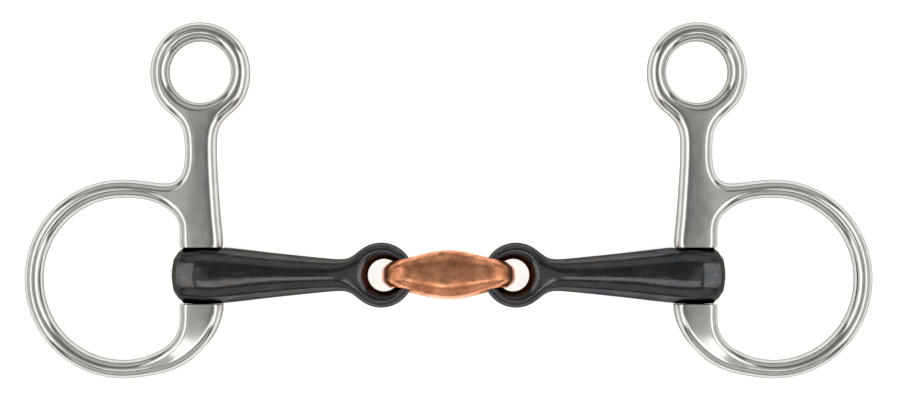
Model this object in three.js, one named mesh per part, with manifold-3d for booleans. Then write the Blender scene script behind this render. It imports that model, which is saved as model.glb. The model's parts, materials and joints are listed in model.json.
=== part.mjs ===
// A hanging-cheek snaffle bit with a three-piece mouthpiece, in millimetres.
// The bit lies flat: +X runs along the mouthpiece, +Y points to the bridle eyes, +Z is up.
// Both sides are the same parts turned over, so each shape is made once, for the +X side.
import * as THREE from 'three';
import { mergeVertices } from 'three/addons/utils/BufferGeometryUtils.js';
import Module from 'manifold-3d';

const wasm = await Module();
wasm.setup();

// ---------- driving dimensions ----------
const mouthWidth = 125; // between the two cheeks: a 5 inch bit
const clearance = 0.3; // between pieces that touch or turn on each other

// Cheek. Its own frame has the hinge pin along Y at x = 0 and the mouthpiece axis at y = 0,
// with +x away from the mouth.
const eye = { x: 0.4, y: 56, inner: 8.5, outer: 13.8, thick: 7.6, round: 2.3 };
const ring = { x: 21.6, y: -0.8, inner: 22.1, outer: 27.3, thick: 6.4, round: 2.2 };
// half widths of the turned, slightly flattened bars of the shank and the stub, by height
const shankBar = { x: 0.2, flat: 0.88, top: 46.8, stations: [[7.6, 5.3], [8.2, 5.8], [12, 5.75],
  [18, 5.2], [24, 4.7], [32, 4.4], [38, 4.4], [41.5, 5.2], [44, 6.2]] };
const stubBar = { x: -0.1, flat: 0.88, bottom: -21, stations: [[-18, 4], [-14.5, 5.2], [-11, 5.9],
  [-8.5, 6], [-7.9, 5.5]] };
// the two webs that join the rein ring to the shank and to the stub, as outlines from above
const web = { thick: 7, bevel: 1.4, inside: -1, wall: 5.9 };
const upperWeb = { foot: 9.4, straight: 11, bulge: 15.5, corner: [11, 19.3], ringInside: [17.5, 22.4],
  ringOutside: [16.8, 26], fillet: [5.4, 24.8], top: [4.6, 33.5] };
const lowerWeb = { head: -8.4, straight: -12, bulge: -16.5, corner: [11, -21.2],
  ringInside: [16.8, -23.6] };
const sweep = { x: 16.4, y: -4.3, radius: 23.3, startY: -10.6 };
const pin = { radius: 2.6, top: 17, cut: -13.5, bottom: -24 };

// Cannon, from the pin towards the centre link: distance from the pin and radius there.
const butt = { reach: 8.1, crown: 10.8, half: 7.3, seat: 6.6 };
const crownRadii = [0, 3, 5.6];
const cannonTaper = [[-5.2, 7.4], [-4.4, 7.7], [6, 7.8], [10.1, 7.3], [16.7, 6.5], [23.3, 5.8],
  [30, 5.1], [36.6, 4.4]];
const cannonNeck = [[39.1, 4.3], [41.7, 3.9], [43.5, 2.6], [44.6, 0]];
const jointEye = { x: 18.6, inner: 4.6, outer: 8.9, thick: 5.4, round: 2.1 };
// the web that spreads the neck round the joint eye and stops `short` of the eye's centre
const flare = { start: 34, bendStart: 36.6, half: 4.1, short: 5.6, bend: 3.4, width: 6.8, overlap: 2.5,
  thick: 5.2, bevel: 1.4 };

// Centre link: half its outline from above, and the two eyes that the joint eyes pass through.
const link = { width: 14.8, bevel: 1.6, blockEnd: 9.8 };
const linkOutline = [[2.3, 6.6], [4, 6.35], [5.7, 5.8], [9, 4.7], [13, 3.7], [15.4, 3.3]];
const linkEye = { x: 11, inner: 3.6, outer: 7.4, thick: 6.3, round: 1.85 };

// ---------- derived places ----------
const pinX = mouthWidth / 2 + shankBar.stations[1][1] - shankBar.x;
const axisY = -(eye.y + eye.outer + ring.y - ring.outer) / 2;
const axisZ = Math.max(...cannonTaper.map(([, radius]) => radius));
const quarterTurn = Math.PI / 2;
const ample = 40; // a cutter this long passes right through any piece
const eased = { jointEye: 0.4, linkEye: 0.2 }; // how far the bores in the webs stand back from the rings

// ---------- solids ----------
// A closed three.js geometry as a manifold-3d solid.
function solid(geometry) {
  const bare = geometry.clone();
  bare.deleteAttribute('normal');
  bare.deleteAttribute('uv');
  const merged = mergeVertices(bare);
  return new wasm.Manifold(new wasm.Mesh({
    numProp: 3,
    vertProperties: merged.attributes.position.array,
    triVerts: new Uint32Array(merged.index.array),
  }));
}

// A solid back as a geometry.
function geometryOf(made) {
  const mesh = made.getMesh();
  const geometry = new THREE.BufferGeometry();
  geometry.setAttribute('position', new THREE.BufferAttribute(mesh.vertProperties, 3));
  geometry.setIndex(new THREE.BufferAttribute(mesh.triVerts, 1));
  geometry.computeVertexNormals();
  return geometry;
}

// A rounded oblong section of a ring, closed on itself, for turning about the Y axis.
function ringSection({ inner, outer, thick, round }, cornerSteps) {
  const half = thick / 2;
  const centres = [
    [outer - round, -half + round, -quarterTurn],
    [outer - round, half - round, 0],
    [inner + round, half - round, quarterTurn],
    [inner + round, -half + round, Math.PI],
  ];
  const points = centres.flatMap(([x, y, from]) =>
    Array.from({ length: cornerSteps + 1 }, (_, i) => {
      const angle = from + (quarterTurn * i) / cornerSteps;
      return new THREE.Vector2(x + round * Math.cos(angle), y + round * Math.sin(angle));
    }));
  return [...points, points[0].clone()];
}

// A ring that lies flat in the XY plane, with a flat facet of its bore square to the X and Y axes.
function flatRing(sizes, segments, cornerSteps) {
  const geometry = new THREE.LatheGeometry(ringSection(sizes, cornerSteps), segments);
  geometry.rotateX(quarterTurn);
  geometry.rotateZ(Math.PI / segments);
  geometry.translate(sizes.x, sizes.y ?? 0, 0);
  return solid(geometry);
}

// A plate with rounded edges, centred on z = 0, whose outline stays at its full size.
function plate(shape, thick, bevel, steps = 2) {
  const geometry = new THREE.ExtrudeGeometry(shape, {
    depth: thick - 2 * bevel,
    bevelThickness: bevel,
    bevelSize: bevel,
    bevelOffset: -bevel,
    bevelSegments: steps,
    curveSegments: 5,
  });
  geometry.translate(0, 0, bevel - thick / 2);
  return solid(geometry);
}

// A round bar along Y.
function barY(radius, low, high, segments = 20) {
  const geometry = new THREE.CylinderGeometry(radius, radius, high - low, segments);
  geometry.translate(0, (low + high) / 2, 0);
  return solid(geometry);
}

// ---------- cheek ----------
// A bar turned about the pin axis and flattened a little, closed on the axis at both ends.
function turnedBar({ x, flat, stations }, endPoints) {
  const points = [...endPoints(stations)].map(([y, radius]) => new THREE.Vector2(radius, y));
  const geometry = new THREE.LatheGeometry(points, 20);
  geometry.scale(1, 1, flat);
  geometry.translate(x, 0, 0);
  return solid(geometry);
}

// The web between the shank and the top of the rein ring, with the fillet above it.
function upperWebShape() {
  const shape = new THREE.Shape();
  shape.moveTo(web.inside, upperWeb.foot);
  shape.lineTo(web.wall, upperWeb.foot);
  shape.lineTo(web.wall, upperWeb.straight);
  shape.quadraticCurveTo(web.wall, upperWeb.bulge, ...upperWeb.corner);
  shape.lineTo(...upperWeb.ringInside);
  shape.lineTo(...upperWeb.ringOutside);
  shape.quadraticCurveTo(...upperWeb.fillet, ...upperWeb.top);
  shape.lineTo(web.inside, upperWeb.top[1]);
  return shape;
}

// The mouth side of the stub, which sweeps round into the foot of the rein ring.
function lowerWebShape() {
  const startX = sweep.x - Math.sqrt(sweep.radius ** 2 - (sweep.startY - sweep.y) ** 2);
  const start = Math.atan2(sweep.startY - sweep.y, startX - sweep.x);
  const shape = new THREE.Shape();
  shape.moveTo(web.wall, lowerWeb.head);
  shape.lineTo(-web.wall, lowerWeb.head);
  shape.absarc(sweep.x, sweep.y, sweep.radius, start, -quarterTurn, false);
  shape.lineTo(...lowerWeb.ringInside);
  shape.lineTo(...lowerWeb.corner);
  shape.quadraticCurveTo(web.wall, lowerWeb.bulge, web.wall, lowerWeb.straight);
  return shape;
}

function cheekSolids() {
  const shank = turnedBar(shankBar, (rows) => [[rows[0][0], 0], ...rows, [shankBar.top, 0]]);
  const stub = turnedBar(stubBar, (rows) => [[stubBar.bottom, 0], ...rows, [rows.at(-1)[0], 0]]);
  const lower = stub.add(plate(lowerWebShape(), web.thick, web.bevel));
  const bossFace = shankBar.stations[0][0];
  const stubFace = stubBar.stations.at(-1)[0];
  const gap = new THREE.BoxGeometry(4 * web.wall, bossFace - stubFace, ample);
  gap.translate(0, (bossFace + stubFace) / 2, 0);
  const wire = flatRing(ring, 40, 2).subtract(solid(gap));
  const casting = flatRing(eye, 28, 2).add(wire).add(shank).add(lower)
    .add(plate(upperWebShape(), web.thick, web.bevel));
  const bore = barY(pin.radius + clearance, pin.bottom, pin.top + clearance);
  const shaft = barY(pin.radius, pin.cut, pin.top);
  const groundEnd = barY(pin.radius, pin.bottom, pin.cut).intersect(lower);
  return { cheek: casting.subtract(bore), hingePin: shaft.add(groundEnd) };
}

// ---------- cannon ----------
// The tapered bar of the cannon, turned about the mouthpiece, from the crown of the butt
// to the domed end inside the joint eye.
function taperSolid() {
  const crown = crownRadii.map((radius) =>
    [butt.crown - butt.reach - Math.sqrt(butt.crown ** 2 - radius ** 2), radius]);
  const rows = [...crown, ...cannonTaper, ...cannonNeck];
  const geometry = new THREE.LatheGeometry(rows.map(([x, radius]) => new THREE.Vector2(radius, x)), 24);
  geometry.rotateZ(quarterTurn);
  return solid(geometry);
}

// The web that spreads the neck round the joint eye. The eye is `reach` from the pin.
function flareShape(reach) {
  const end = flare.short - reach;
  const back = end - flare.overlap;
  const bend = end + flare.bend;
  const shape = new THREE.Shape();
  shape.moveTo(-flare.start, -flare.half);
  shape.lineTo(-flare.bendStart, -flare.half);
  shape.quadraticCurveTo(bend, -flare.half, end, -flare.width);
  shape.lineTo(back, -flare.width);
  shape.lineTo(back, flare.width);
  shape.lineTo(end, flare.width);
  shape.quadraticCurveTo(bend, flare.half, -flare.bendStart, flare.half);
  shape.lineTo(-flare.start, flare.half);
  return shape;
}

function cannonSolid() {
  const reach = pinX - jointEye.x;
  const loop = flatRing({ ...jointEye, x: -reach }, 28, 2);
  const holeRadius = jointEye.inner + eased.jointEye;
  const hole = new THREE.CylinderGeometry(holeRadius, holeRadius, ample, 28);
  hole.rotateX(quarterTurn);
  hole.translate(-reach, 0, 0);
  const spread = plate(flareShape(reach), flare.thick, flare.bevel).subtract(solid(hole));
  // the seats are spot-faced so that the boss and the stub can turn above and below the butt
  const seatAbove = barY(butt.seat, butt.half, ample, 24);
  const seatBelow = barY(butt.seat, -ample, -butt.half, 24);
  const bore = barY(pin.radius + clearance, -ample, ample);
  return taperSolid().add(spread).add(loop)
    .subtract(seatAbove).subtract(seatBelow).subtract(bore);
}

// ---------- centre link ----------
// One quarter outline mirrored into the lozenge's whole outline.
function lozengeShape() {
  const mirrored = (sx, sy) => linkOutline.map(([x, y]) => new THREE.Vector2(sx * x, sy * y));
  const ends = [
    ...mirrored(1, 1),
    ...mirrored(1, -1).reverse(),
    ...mirrored(-1, -1),
    ...mirrored(-1, 1).reverse(),
  ];
  return new THREE.Shape(ends.reverse());
}

function linkSolid() {
  const block = plate(lozengeShape(), link.width, link.bevel);
  const holeRadius = linkEye.inner + eased.linkEye;
  const ends = [-1, 1].map((side) => {
    const loop = new THREE.LatheGeometry(ringSection(linkEye, 3), 28);
    loop.translate(side * linkEye.x, 0, 0);
    const hole = new THREE.CylinderGeometry(holeRadius, holeRadius, ample, 24);
    hole.translate(side * linkEye.x, 0, 0);
    // towards the tip the block gives way to the turned ring alone
    const beyond = new THREE.BoxGeometry(ample, ample, ample);
    beyond.translate(side * (link.blockEnd + ample / 2), 0, 0);
    return { loop: solid(loop), hole: solid(hole), beyond: solid(beyond) };
  });
  const cutBlock = ends.reduce((left, end) => left.subtract(end.hole).subtract(end.beyond), block);
  return ends.reduce((whole, end) => whole.add(end.loop), cutBlock);
}

// ---------- materials and assembly ----------
const stainless = () => new THREE.MeshStandardMaterial({ color: 0xc9c8c4, roughness: 0.14, metalness: 1 });
const sweetIron = () => new THREE.MeshStandardMaterial({ color: 0x3c3f44, roughness: 0.34, metalness: 1 });
const copper = () => new THREE.MeshStandardMaterial({ color: 0xb8734f, roughness: 0.38, metalness: 1 });

function piece(name, made, material, x = 0) {
  const mesh = new THREE.Mesh(geometryOf(made), material);
  mesh.name = name;
  mesh.position.x = x;
  return mesh;
}

const { cheek, hingePin } = cheekSolids();
const cannon = cannonSolid();

// One side: a cheek, its pin and a cannon. The left one is the right one turned over about Y.
function side(suffix, turn) {
  const group = new THREE.Group();
  group.rotation.y = turn;
  group.add(piece('cheek_' + suffix, cheek, stainless(), pinX));
  group.add(piece('hinge_pin_' + suffix, hingePin, stainless(), pinX));
  group.add(piece('cannon_' + suffix, cannon, sweetIron(), pinX));
  return group;
}

const bit = new THREE.Group();
bit.add(piece('centre_link', linkSolid(), copper()));
bit.add(side('right', 0));
bit.add(side('left', Math.PI));
bit.position.set(0, axisY, axisZ);

const part = new THREE.Group();
part.add(bit);

export default part;
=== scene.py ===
import json
from math import copysign, cos, pi, radians, sin

import bmesh
import bpy
from mathutils import Matrix, Vector


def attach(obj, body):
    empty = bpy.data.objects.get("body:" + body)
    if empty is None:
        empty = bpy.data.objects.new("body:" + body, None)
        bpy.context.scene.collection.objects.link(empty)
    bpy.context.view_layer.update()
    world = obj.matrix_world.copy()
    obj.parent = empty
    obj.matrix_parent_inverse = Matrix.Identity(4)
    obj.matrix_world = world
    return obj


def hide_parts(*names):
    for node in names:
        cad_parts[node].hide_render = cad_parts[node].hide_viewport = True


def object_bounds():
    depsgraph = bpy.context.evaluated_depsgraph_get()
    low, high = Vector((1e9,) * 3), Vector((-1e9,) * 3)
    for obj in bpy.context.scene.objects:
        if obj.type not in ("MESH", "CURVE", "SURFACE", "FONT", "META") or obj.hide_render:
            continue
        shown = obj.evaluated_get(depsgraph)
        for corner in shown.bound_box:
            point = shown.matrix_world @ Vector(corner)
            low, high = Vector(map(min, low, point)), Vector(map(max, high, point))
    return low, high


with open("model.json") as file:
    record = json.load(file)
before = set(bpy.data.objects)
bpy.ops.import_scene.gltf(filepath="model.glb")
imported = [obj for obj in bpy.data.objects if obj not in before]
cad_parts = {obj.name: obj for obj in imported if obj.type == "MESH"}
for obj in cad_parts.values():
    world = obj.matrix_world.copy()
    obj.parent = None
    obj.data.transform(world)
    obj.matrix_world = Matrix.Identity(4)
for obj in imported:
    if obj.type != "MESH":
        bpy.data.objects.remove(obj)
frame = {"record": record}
cad_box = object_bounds()

# ---------------------------------------------------------------------------
# Cheeks
# Each cheek is one stainless steel casting: bridle eye, shank, boss, rein ring and stub.
# It is linished and mirror polished all over, except in the bridle eye's bore. The hinge
# gap between boss and stub is milled square, so its edges are crisp.
# ---------------------------------------------------------------------------
MM = 0.001
joints = {joint["name"]: joint for joint in frame["record"]["behaviour"]["joints"]}
hinge = Vector(joints["cheek_swing_right"]["pos_m"])

# A side's own frame, in millimetres: the hinge pin runs along y at x = 0, the mouthpiece
# axis is at y = 0, and +x points away from the mouth. The left side is turned over.
side_places = {
    "right": Matrix.Translation(hinge) @ Matrix.Scale(MM, 4),
    "left": (Matrix.Translation((-hinge.x, hinge.y, hinge.z)) @ Matrix.Rotation(pi, 4, "Y")
             @ Matrix.Scale(MM, 4)),
}

eye_centre, eye_bore, eye_rim, eye_steps = Vector((0.4, 56, 0)), 8.5, 13.8, 14
ring_centre, ring_bore, ring_rim = Vector((21.6, -0.8, 0)), 22.1, 27.3
neck_flare = 0.04  # share by which the bridle eye widens above its neck
ring_sag = 0.5  # how much lower the ring's foot is than a true circle's
boss_face, stub_face = 7.6, -7.85
pin_radius = 2.6
gap_chamfer = 0.15


def smooth_share(value, low, high):
    share = min(max((value - low) / (high - low), 0), 1)
    return share * share * (3 - 2 * share)


def new_verts(made):
    return [item for item in made["geom"] if isinstance(item, bmesh.types.BMVert)]


def new_faces(made):
    return [item for item in made["geom"] if isinstance(item, bmesh.types.BMFace)]


def extrude_row(bm, row, places):
    """Extrudes a chain of vertices by one row of faces and puts its copies in their places."""
    edges = [edge for edge in bm.edges if edge.verts[0] in row and edge.verts[1] in row]
    fresh = new_verts(bmesh.ops.extrude_edge_only(bm, edges=edges))
    row = [min(fresh, key=lambda vert: (vert.co - old.co).length) for old in row]
    for vert, place in zip(row, places):
        vert.co = (*place, 0)
    return row


def on_ring(radius, degrees):
    angle = radians(degrees)
    return ring_centre.x + radius * cos(angle), ring_centre.y + radius * sin(angle)


def swell(steps):
    """How much larger than its circle the cage of a subdivided ring of that many steps is."""
    return 3 / (2 + cos(2 * pi / steps))


def cheek_plan(bm):
    """The casting's outline as one flat sheet of quads, from the bridle eye to the stub."""
    start = [bm.verts.new(eye_centre - Vector((0, radius * swell(eye_steps), 0)))
             for radius in (eye_bore, eye_rim)]
    spoke = bm.edges.new(start)
    bmesh.ops.spin(bm, geom=start + [spoke], cent=eye_centre, axis=(0, 0, 1), angle=2 * pi,
                   steps=eye_steps, use_merge=True)
    rim = [vert for vert in bm.verts if (vert.co - eye_centre).length > eye_rim - 1]
    for vert in rim:
        if 4 < eye_centre.y - vert.co.y < 11:
            vert.co += neck_flare * (vert.co - eye_centre)
    neck = [vert for vert in rim if vert.co.y < eye_centre.y - 12]
    row = sorted(neck, key=lambda vert: vert.co.x)
    # the height, and how far the edge nearer the mouth and the other edge lie from the pin's line
    shank_rows = [(39.4, -4.1, 4.7), (34, -4.1, 4.6), (28.6, -4.3, 4.7), (21.5, -4.8, 5.9),
                  (14.2, -5.3, 5.9), (10.6, -5.85, 6.0), (4.5, -5.85, 6.0)]
    columns = []
    for y, inner, outer in shank_rows:
        row = extrude_row(bm, row, [(inner, y), (0.2, y), (outer, y)])
        columns.append(row[-1])
    row = columns[2:5]  # the ring springs from the outer edge here, and then comes a short web
    for places in (
        [(7.3, 24.9), (8.8, 21.8), (7.4, 17.0)],
        [on_ring(ring_rim + 0.4, 108), on_ring(25.3, 110), on_ring(ring_bore + 1.2, 112)],
    ):
        row = extrude_row(bm, row, places)
    for degrees in range(90, -106, -15):
        sag = 0.25 + ring_sag * max(0, -sin(radians(degrees)))
        row = extrude_row(bm, row, [on_ring(radius + sag, degrees) for radius in (ring_rim, 24.7, ring_bore)])
    # the ring widens into the stub under the hinge
    for places in (
        [(7.4, -26.4), (9.1, -23.1), (9.3, -19.8)],
        [(1.2, -22.6), (3.8, -19.2), (6.5, -16.2)],
        [(-3.4, -17.2), (0.7, -14.6), (5.9, -12.6)],
        [(-6.0, -11.4), (-0.1, -10.6), (6.0, -10.2)],
        [(-6.3, -4.8), (-0.1, -4.8), (6.0, -4.8)],
    ):
        row = extrude_row(bm, row, places)


def cheek_height(x, y, drop):
    """The bar is thickest at the hinge and slims towards the eye and round the ring."""
    bar = 3.9 + 1.1 * (1 - smooth_share(abs(y), 10, 36))
    return bar + (3.35 - bar) * smooth_share(x, 6, 16) - drop


def thicken(bm, height, edge_drop, insets):
    """Raises a flat sheet to a bar with a flat top and round shoulders, then mirrors it below.
    The edge and each inset row have a drop, from which `height` gives their height."""
    sheet = list(bm.faces)
    top = new_faces(bmesh.ops.extrude_face_region(bm, geom=sheet))
    bmesh.ops.delete(bm, geom=[face for face in sheet if face.is_valid], context="FACES")
    for vert in {vert for face in top for vert in face.verts}:
        vert.co.z = height(vert.co.x, vert.co.y, edge_drop)
    for inset, drop in insets:
        bmesh.ops.inset_region(bm, faces=top, thickness=inset, use_boundary=True, use_even_offset=True)
        for vert in {vert for face in top for vert in face.verts}:
            vert.co.z = height(vert.co.x, vert.co.y, drop)
    bmesh.ops.mirror(bm, geom=bm.verts[:] + bm.edges[:] + bm.faces[:], axis="Z", merge_dist=1e-3)
    bmesh.ops.remove_doubles(bm, verts=bm.verts, dist=1e-3)
    bmesh.ops.recalc_face_normals(bm, faces=bm.faces)


def modified(bm, kind, other=None, **settings):
    """The shape after one modifier, as a new bmesh. `other` is the cutter of a boolean."""
    objects = []
    for shape in (bm, other):
        if shape:
            mesh = bpy.data.meshes.new("work")
            shape.to_mesh(mesh)
            objects.append(bpy.data.objects.new("work", mesh))
            bpy.context.scene.collection.objects.link(objects[-1])
    modifier = objects[0].modifiers.new("work", kind)
    for name, value in settings.items():
        setattr(modifier, name, value)
    if other:
        modifier.object = objects[1]
    graph = bpy.context.evaluated_depsgraph_get()
    result = bmesh.new()
    result.from_mesh(objects[0].evaluated_get(graph).to_mesh())
    for item in objects:
        bpy.data.meshes.remove(item.data)
    return result


def square_end(bm, y, side, reach):
    """Mills one end of the bar square across at height y, with a fine chamfer. `side` is the
    direction, +1 or -1, in which the bar ends."""
    near = [face for face in bm.faces
            if abs(face.calc_center_median().y - y) < 4 and abs(face.calc_center_median().x) < reach]
    edges = list({edge for face in near for edge in face.edges})
    verts = list({vert for face in near for vert in face.verts})
    cut = bmesh.ops.bisect_plane(bm, geom=near + edges + verts, dist=1e-4, clear_outer=False,
                                 plane_co=(0, y - side * gap_chamfer, 0), plane_no=(0, side, 0))
    beyond = [vert for vert in bm.verts
              if abs(vert.co.x) < reach and 1e-3 < side * (vert.co.y - y) + gap_chamfer < 5]
    bmesh.ops.delete(bm, geom=beyond, context="VERTS")
    corners = [item for item in cut["geom_cut"] if isinstance(item, bmesh.types.BMVert) and item.is_valid]
    bmesh.ops.remove_doubles(bm, verts=corners, dist=1.5 * gap_chamfer)
    rim = [edge for edge in bm.edges if len(edge.link_faces) == 1]
    face = bmesh.ops.contextual_create(bm, geom=rim)["faces"]
    bmesh.ops.inset_region(bm, faces=face, thickness=gap_chamfer, use_even_offset=True)
    bmesh.ops.translate(bm, verts=face[0].verts, vec=(0, side * gap_chamfer, 0))


def bar_along_y(radius, low, high, steps=96):
    bm = bmesh.new()
    bmesh.ops.create_cone(bm, cap_ends=True, segments=steps, radius1=radius, radius2=radius, depth=high - low)
    bmesh.ops.rotate(bm, verts=bm.verts, matrix=Matrix.Rotation(pi / 2, 3, "X"))
    bmesh.ops.translate(bm, verts=bm.verts, vec=(0, (low + high) / 2, 0))
    return bm


def put_in_scene(name, bm, place, body, node, material, sharp=40):
    """Makes the finished piece: the mesh in its place, its material and its body, and hides the CAD part of
    its node.
    """
    mesh = bpy.data.meshes.new(name)
    bm.to_mesh(mesh)
    mesh.transform(place)
    mesh.shade_smooth()
    mesh.set_sharp_from_angle(angle=radians(sharp))
    mesh.materials.append(material)
    piece = bpy.data.objects.new(name, mesh)
    bpy.context.scene.collection.objects.link(piece)
    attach(piece, body)
    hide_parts(node)


class Recipe:
    """A material's node tree, with short calls for the nodes that these finishes use."""

    def __init__(self, name):
        self.material = bpy.data.materials.new(name)
        self.material.use_nodes = True
        self.nodes = self.material.node_tree.nodes
        self.links = self.material.node_tree.links
        self.shader = self.nodes["Principled BSDF"]
        self.place = self.nodes.new("ShaderNodeTexCoord").outputs["Object"]

    def add(self, kind, inputs, **settings):
        node = self.nodes.new("ShaderNode" + kind)
        for name, value in settings.items():
            setattr(node, name, value)
        for key, value in inputs.items():
            if isinstance(value, bpy.types.NodeSocket):
                self.links.new(value, node.inputs[key])
            else:
                node.inputs[key].default_value = value
        return node.outputs[0]

    def noise(self, size, detail=4, roughness=0.5, stretch=(1, 1, 1)):
        """Noise whose features are about `size` metres across, drawn out by `stretch`."""
        scale = [1 / (size * share) for share in stretch]
        place = self.add("Mapping", {"Vector": self.place, "Scale": scale})
        return self.add("TexNoise", {"Vector": place, "Scale": 1.0, "Detail": detail, "Roughness": roughness})

    def spread(self, value, low, high, to_low=0.0, to_high=1.0):
        return self.add("MapRange", {"Value": value, "From Min": low, "From Max": high,
                                     "To Min": to_low, "To Max": to_high})

    def near(self, centre, outer, inner):
        """1 within `inner` metres of the upright line through `centre`, and 0 beyond `outer`."""
        moved = self.add("VectorMath", {0: self.place, 1: centre}, operation="SUBTRACT")
        flat = self.add("VectorMath", {0: moved, 1: (1, 1, 0)}, operation="MULTIPLY")
        length = self.nodes.new("ShaderNodeVectorMath")
        length.operation = "LENGTH"
        self.links.new(flat, length.inputs[0])
        return self.spread(length.outputs["Value"], outer, inner)

    def math(self, operation, first, second=0.0):
        return self.add("Math", {0: first, 1: second}, operation=operation)

    def blend(self, share, first, second):
        node = self.nodes.new("ShaderNodeMix")
        node.data_type = "RGBA"
        for key, value in (("Factor", share), (6, first), (7, second)):
            if isinstance(value, bpy.types.NodeSocket):
                self.links.new(value, node.inputs[key])
            else:
                node.inputs[key].default_value = value
        return node.outputs[2]

    def bump(self, height, depth, normal=None):
        inputs = {"Height": height, "Strength": 1.0, "Distance": depth}
        if normal:
            inputs["Normal"] = normal
        return self.add("Bump", inputs)

    def finish(self, **sockets):
        for name, value in sockets.items():
            socket = self.shader.inputs[name.replace("_", " ").title().replace("Ior", "IOR")]
            if isinstance(value, bpy.types.NodeSocket):
                self.links.new(value, socket)
            else:
                socket.default_value = value
        return self.material


def polished_steel(name, centre):
    """Mirror-polished stainless steel. `centre` is the middle of the bridle eye, whose bore
    keeps a rough cast skin."""
    recipe = Recipe(name)
    shine = recipe.noise(0.004, detail=5)
    lines = recipe.noise(0.0006, detail=3, stretch=(1, 9, 1))
    waves = recipe.noise(0.009, detail=1)
    bore = recipe.near(centre, 0.0090, 0.0084)
    skin = recipe.noise(0.0007, detail=6, roughness=0.65)
    tone = recipe.blend(recipe.spread(shine, 0.35, 0.7), (0.575, 0.57, 0.555, 1), (0.65, 0.645, 0.63, 1))
    tone = recipe.blend(bore, tone, (0.42, 0.40, 0.37, 1))
    rough = recipe.spread(lines, 0.3, 0.75, 0.10, 0.15)
    rough = recipe.math("MAXIMUM", rough, recipe.math("MULTIPLY", bore, 0.42))
    soft = recipe.bump(waves, 0.00004)
    fine = recipe.bump(lines, 0.0000015, soft)
    cast = recipe.bump(recipe.math("MULTIPLY", skin, bore), 0.00012, fine)
    return recipe.finish(base_color=tone, metallic=1.0, roughness=rough, normal=cast,
                         specular_tint=(0.33, 0.32, 0.30, 1))


cage = bmesh.new()
cheek_plan(cage)
thicken(cage, cheek_height, 1.95, [(0.9, 0.55), (1.2, 0.03), (0.3, 0)])
cheek = modified(cage, "SUBSURF", levels=2, render_levels=2)
square_end(cheek, boss_face, -1, 7)
square_end(cheek, stub_face, 1, 8)
solid_cheek = cheek.copy()
for low, high in ((-30, -5), (5, 17)):
    cheek = modified(cheek, "BOOLEAN", bar_along_y(pin_radius + 0.05, low, high), operation="DIFFERENCE",
                     solver="EXACT")

for side, place in side_places.items():
    steel = polished_steel("polished_stainless_" + side, place @ eye_centre)
    put_in_scene("cheek_casting_" + side, cheek, place, "side_" + side, "cheek_" + side,
                 steel, sharp=30)


# ---------------------------------------------------------------------------
# Hinge pins
# A ground stainless bar, pressed up through the stub and the cannon's butt into the boss.
# Its lower end is dressed flush with the foot of the stub, where a hairline ring shows.
# ---------------------------------------------------------------------------
def ground_steel():
    """Ground stainless steel, painted near black as shade where it runs inside the cannon's butt, so the
    hinge gaps look dark.
    """
    recipe = Recipe("ground_stainless")
    turns = recipe.noise(0.0004, detail=3, stretch=(8, 1, 8))
    moved = recipe.add("VectorMath", {0: recipe.place, 1: hinge}, operation="SUBTRACT")
    parts = recipe.nodes.new("ShaderNodeSeparateXYZ")
    recipe.links.new(moved, parts.inputs[0])
    # painted shade: the pin's middle, seen only down the hinge gaps, is coloured near black and made rougher
    painted_gap_shade = recipe.spread(recipe.math("ABSOLUTE", parts.outputs["Y"]), 0.0092, 0.0084)
    tone = recipe.blend(turns, (0.50, 0.49, 0.47, 1), (0.64, 0.63, 0.61, 1))
    tone = recipe.blend(painted_gap_shade, tone, (0.012, 0.011, 0.010, 1))
    rough = recipe.spread(turns, 0.3, 0.7, 0.2, 0.36)
    rough = recipe.math("MAXIMUM", rough, recipe.math("MULTIPLY", painted_gap_shade, 0.5))
    return recipe.finish(base_color=tone, metallic=1.0, roughness=rough, normal=recipe.bump(turns, 0.00001))


shaft = modified(bar_along_y(pin_radius, -12, 16.6), "BEVEL", width=0.3, segments=2, limit_method="ANGLE")
flush_end = modified(bar_along_y(pin_radius, -30, -11.9), "BOOLEAN", solid_cheek, operation="INTERSECT",
                     solver="EXACT")
pin = modified(shaft, "BOOLEAN", flush_end, operation="UNION", solver="EXACT")
pin_steel = ground_steel()
for side, place in side_places.items():
    put_in_scene("pin_" + side, pin, place, "side_" + side, "hinge_pin_" + side, pin_steel)


# ---------------------------------------------------------------------------
# Cannons
# Each half of the mouth is forged from one bar of sweet iron and blued: a butt bored for
# the pin, a tapered cannon, and a joint eye closed round the link. It is only satin
# polished, so hammer and grinding marks stay in it.
# ---------------------------------------------------------------------------
joint_eye_centre = Vector((-(hinge.x / MM - 18.6), 0, 0))
joint_eye_steps = 12
round_cage = swell(12)  # the bar's cage has twelve sides all along
# the joint eye's section, as distance from its centre and height
joint_eye_section = [(9.15, 0), (8.75, 1.9), (7.4, 3.0), (6.3, 2.75), (5.2, 1.9), (4.4, 0.8),
                     (4.4, -0.8), (5.2, -1.9), (6.3, -2.75), (7.4, -3.0), (8.75, -1.9)]
bore_shift = 0.8  # the eye is thickest on the cannon's side
# distance from the pin towards the link, and the half height and half thickness there
cannon_stations = [(38.6, 4.35, 3.7), (36, 4.5, 4.4), (30, 5.1, 5.1), (23.3, 5.8, 5.8), (16.7, 6.5, 6.5),
                   (10.1, 7.2, 7.2), (4, 7.7, 7.6)]
# how far short of the domed end, and the half height and half thickness there
butt_rows = [(4.8, 7.8, 7.6), (3.2, 7.75, 7.3), (1.6, 7.7, 6.7), (0, 7.5, 5.9)]
butt_reach = 8.8


def butt_dome(y, z):
    """How far the ground end of the butt reaches from the pin."""
    aside = (y / 7.4) ** 2
    return butt_reach - 2.3 * aside - 1.25 * aside ** 2 - 2.1 * abs(z / 6.1) ** 1.3


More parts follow.
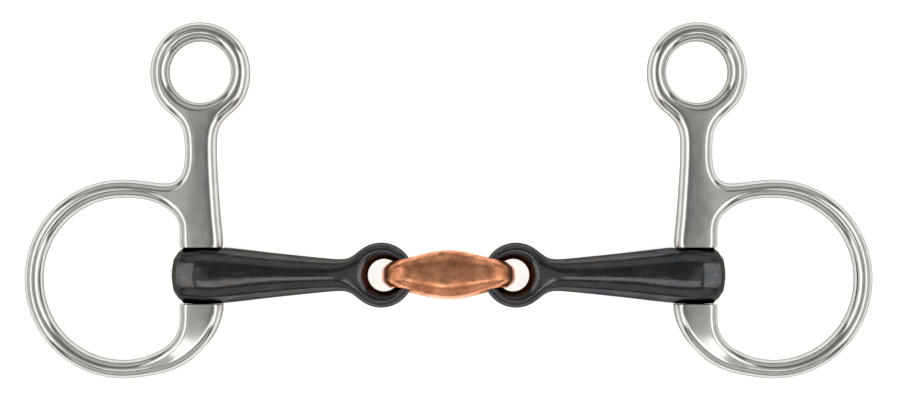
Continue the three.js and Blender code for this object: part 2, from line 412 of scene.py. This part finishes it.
def joint_eye(bm):
    section = [bm.verts.new(joint_eye_centre + Vector((radius * swell(joint_eye_steps), 0, z)))
               for radius, z in joint_eye_section]
    edges = [bm.edges.new((a, b)) for a, b in zip(section, section[1:] + section[:1])]
    bmesh.ops.spin(bm, geom=section + edges, cent=joint_eye_centre, axis=(0, 0, 1), angle=2 * pi,
                   steps=joint_eye_steps, use_merge=True)
    for vert in bm.verts:
        radius = (vert.co.xy - joint_eye_centre.xy).length
        vert.co.x -= bore_shift * (1 - smooth_share(radius, 4.8, 7.6))


def cannon_cage():
    bm = bmesh.new()
    crease = bm.edges.layers.float.new("crease_edge")
    joint_eye(bm)
    middles = {face: face.calc_center_median() for face in bm.faces}
    patch = [face for face, middle in middles.items()
             if middle.x > joint_eye_centre.x + 7.4 and abs(middle.y) < 3]
    for distance, height, depth in cannon_stations:
        patch = drawn_out(bm, patch, distance, height * round_cage, depth * round_cage)
    for short, height, depth in butt_rows:
        patch = drawn_out(bm, patch, 0, height * round_cage, depth * round_cage)
        for vert in {vert for face in patch for vert in face.verts}:
            vert.co.x = butt_dome(vert.co.y / round_cage, vert.co.z / round_cage) - short
    for edge in {edge for face in patch for edge in face.edges}:
        if not all(face in patch for face in edge.link_faces):
            edge[crease] = 1
    for inset in (1.5, 2.1):
        bmesh.ops.inset_region(bm, faces=patch, thickness=inset, use_even_offset=True)
        for vert in {vert for face in patch for vert in face.verts}:
            vert.co.x = butt_dome(vert.co.y / round_cage, vert.co.z / round_cage)
    bmesh.ops.recalc_face_normals(bm, faces=bm.faces)
    return bm


def drawn_out(bm, patch, distance, height, depth):
    """Extrudes the patch and shapes its rim to a section at that distance from the pin. The
    section is oval, and grows squarer towards the butt."""
    made = bmesh.ops.extrude_face_region(bm, geom=patch)
    bmesh.ops.delete(bm, geom=[face for face in patch if face.is_valid], context="FACES")
    verts = new_verts(made)
    tallest = max(abs(vert.co.z) for vert in verts)
    fullness = 1.11 - 0.11 * smooth_share(distance, 2, 22)
    for vert in verts:
        side = (vert.co.y > 0.2) - (vert.co.y < -0.2)
        level = sum(abs(vert.co.z) > share * tallest for share in (0.2, 0.8))
        angle = radians(30 * level)
        full = fullness if side and level else 1
        z = copysign(full * sin(angle) if side else level * level / 4, vert.co.z)
        vert.co = (-distance, side * full * height * cos(angle), depth * z)
    return new_faces(made)


def sweet_iron(name, eye):
    """Blued iron: a dark satin metal, bluer where it is polished and browner elsewhere. The inside of the
    joint eye, round the point `eye`, is painted dark brown: painted shade in the hollow where the link sits."""
    recipe = Recipe(name)
    cloud = recipe.noise(0.006, detail=5, roughness=0.6)
    scratch = recipe.noise(0.0009, detail=4, stretch=(7, 1, 1))
    tone = recipe.blend(recipe.spread(cloud, 0.35, 0.68), (0.060, 0.068, 0.079, 1), (0.098, 0.088, 0.082, 1))
    tone = recipe.blend(recipe.spread(scratch, 0.55, 0.8, 0, 0.5), tone, (0.19, 0.20, 0.21, 1))
    # painted shade: the inside of the joint eye is coloured dark brown
    tone = recipe.blend(recipe.near(eye, 0.0065, 0.0058), tone, (0.042, 0.022, 0.018, 1))
    rough = recipe.spread(cloud, 0.3, 0.7, 0.12, 0.21)
    soft = recipe.bump(recipe.noise(0.004, detail=2), 0.00008)
    fine = recipe.bump(scratch, 0.000012, soft)
    return recipe.finish(base_color=tone, metallic=1.0, roughness=rough, normal=fine,
                         specular_tint=(0.36, 0.37, 0.34, 1))


cannon = modified(cannon_cage(), "SUBSURF", levels=3, render_levels=3)
for low, high in ((boss_face - 0.08, 20), (-20, stub_face + 0.1)):
    cannon = modified(cannon, "BOOLEAN", bar_along_y(6.6, low, high), operation="DIFFERENCE", solver="EXACT")
cannon = modified(cannon, "BOOLEAN", bar_along_y(pin_radius + 0.25, -20, 20), operation="DIFFERENCE",
                  solver="EXACT")
for side, place in side_places.items():
    put_in_scene("cannon_bar_" + side, cannon, place, "mouth_" + side, "cannon_" + side,
                 sweet_iron("sweet_iron_" + side, place @ (joint_eye_centre - Vector((0.6, 0, 0)))))


# ---------------------------------------------------------------------------
# Centre link
# A copper lozenge with an eye at each end, cast and then tumbled, so its ridges are soft.
# It hangs loose on the cannons' eyes and lies tipped a few degrees. The copper has browned
# in patches and stays bright where it rubs.
# ---------------------------------------------------------------------------
link_eye_x, link_bore, link_rim, link_steps = 11.0, 3.6, 7.4, 12
link_tip = radians(6)
# distance from the middle, and half the link's height there
link_profile = [(0, 6.85), (4, 6.5), (5.7, 5.85), (9, 4.8), (13, 3.8), (16.7, 3.35), (19, 3.3)]


def link_height(x, _, drop):
    """Half the link's height at x. `drop` is the share of it by which a row lies lower."""
    x = min(abs(x), link_profile[-1][0])
    for (low, start), (high, end) in zip(link_profile, link_profile[1:]):
        if x <= high:
            return (start + (end - start) * (x - low) / (high - low)) * (1 - drop)


def link_plan(bm):
    """The link from above, as a flat sheet: two rings and the block between them."""
    for side in (-1, 1):
        centre = Vector((side * link_eye_x, 0, 0))
        start = [bm.verts.new(centre + Vector((radius * swell(link_steps), 0, 0)))
                 for radius in (link_bore, link_rim)]
        spoke = bm.edges.new(start)
        bmesh.ops.spin(bm, geom=start + [spoke], cent=centre, axis=(0, 0, 1), angle=2 * pi,
                       steps=link_steps, use_merge=True)
    rim = [vert for vert in bm.verts if (vert.co - Vector((-link_eye_x, 0, 0))).length > link_rim
           and -link_eye_x + 3 < vert.co.x < 0]
    row = sorted(rim, key=lambda vert: vert.co.y)
    far = [(-vert.co.x, vert.co.y) for vert in row]
    row = extrude_row(bm, row, [(0, y) for y in (-link_rim, -3.9, 0, 3.9, link_rim)])
    extrude_row(bm, row, far)
    bmesh.ops.remove_doubles(bm, verts=bm.verts, dist=1e-3)


def patinated_copper():
    """Copper that has browned: salmon where it is rubbed, olive brown in patches, with fine pits."""
    recipe = Recipe("patinated_copper")
    cloud = recipe.noise(0.005, detail=5, roughness=0.62)
    patch = recipe.noise(0.0035, detail=3)
    pits = recipe.noise(0.0007, detail=5, roughness=0.7)
    tone = recipe.blend(recipe.spread(cloud, 0.38, 0.66), (0.96, 0.41, 0.215, 1), (0.46, 0.17, 0.088, 1))
    tone = recipe.blend(recipe.spread(patch, 0.56, 0.70, 0, 0.6), tone, (0.20, 0.125, 0.07, 1))
    tone = recipe.blend(recipe.spread(pits, 0.6, 0.75, 0, 0.6), tone, (0.20, 0.09, 0.05, 1))
    rough = recipe.spread(cloud, 0.3, 0.7, 0.20, 0.36)
    soft = recipe.bump(recipe.noise(0.003, detail=2), 0.00012)
    fine = recipe.bump(pits, 0.00004, soft)
    return recipe.finish(base_color=tone, metallic=1.0, roughness=rough, normal=fine)


cage = bmesh.new()
link_plan(cage)
thicken(cage, link_height, 0.52, [(0.75, 0.24), (0.9, 0.06), (0.4, 0)])
link = modified(cage, "SUBSURF", levels=3, render_levels=3)
link_axis = Vector((0, hinge.y, hinge.z))
link_turn = Matrix.Rotation(-pi / 2 - link_tip, 4, "X")
link_place = Matrix.Translation(link_axis) @ link_turn @ Matrix.Scale(MM, 4)
put_in_scene("lozenge_link", link, link_place, "link", "centre_link", patinated_copper())


# ---------------------------------------------------------------------------
# Table, light and camera
# The bit lies on a plain white table under a camera that looks straight down. Two long
# softboxes stand along its sides, weaker panels stand round it, and a lamp hangs in front.
# ---------------------------------------------------------------------------
def table():
    bm = bmesh.new()
    bmesh.ops.create_grid(bm, x_segments=1, y_segments=1, size=1.5)
    mesh = bpy.data.meshes.new("table")
    bm.to_mesh(mesh)
    recipe = Recipe("white_table")
    grain = recipe.noise(0.003, detail=3)
    mesh.materials.append(recipe.finish(
        base_color=recipe.blend(grain, (0.90, 0.90, 0.90, 1), (0.92, 0.92, 0.92, 1)), roughness=0.7,
        emission_color=(1, 0.98, 0.95, 1), emission_strength=0.7))
    top = bpy.data.objects.new("table", mesh)
    top.location.z = cad_box[0][2] - 0.0002
    bpy.context.scene.collection.objects.link(top)


def softbox(name, place, target, size, brightness):
    """A rectangular area light aimed at the bit. `size` is its level width and its height."""
    light = bpy.data.lights.new(name, "AREA")
    light.shape = "RECTANGLE"
    light.size, light.size_y = size
    light.energy = brightness * pi * size[0] * size[1]
    light.color = (1, 0.98, 0.945)
    holder = bpy.data.objects.new(name, light)
    holder.location = place
    holder.rotation_euler = (Vector(target) - Vector(place)).to_track_quat("-Z", "Y").to_euler()
    bpy.context.scene.collection.objects.link(holder)


table()
middle = Vector((0, 0, hinge.z))
for side, sign in (("left", -1), ("right", 1)):
    softbox("strip_" + side, (sign * 0.60, 0, 0.67), middle, (1.0, 0.46), 1.5)
    softbox("low_panel_" + side, (sign * 0.95, 0, 0.30), middle, (1.3, 0.5), 0.5)
    softbox("overhead_panel_" + side, (sign * 0.29, hinge.y, 0.95), middle, (0.6, 0.26), 0.40)
softbox("back_panel", (0, 0.80, 0.45), middle, (1.5, 0.6), 0.42)
softbox("front_panel", (0, -0.80, 0.45), middle, (1.5, 0.6), 0.42)
softbox("front_lamp", (0, -0.34, 0.93), middle, (0.6, 0.3), 1.5)

world = bpy.data.worlds.new("studio")
world.use_nodes = True
world.node_tree.nodes["Background"].inputs["Color"].default_value = (0.215, 0.22, 0.215, 1)
world.node_tree.nodes["Background"].inputs["Strength"].default_value = 1.0
bpy.context.scene.world = world
bpy.context.scene.view_settings.view_transform = "Standard"

camera_height, view_width = 0.69, 0.2484
camera = bpy.data.objects.new("camera", bpy.data.cameras.new("camera"))
camera.data.lens = camera.data.sensor_width * camera_height / view_width
camera.location = (0.0004, hinge.y + 0.0188, hinge.z + camera_height)
bpy.context.scene.collection.objects.link(camera)
bpy.context.scene.camera = camera
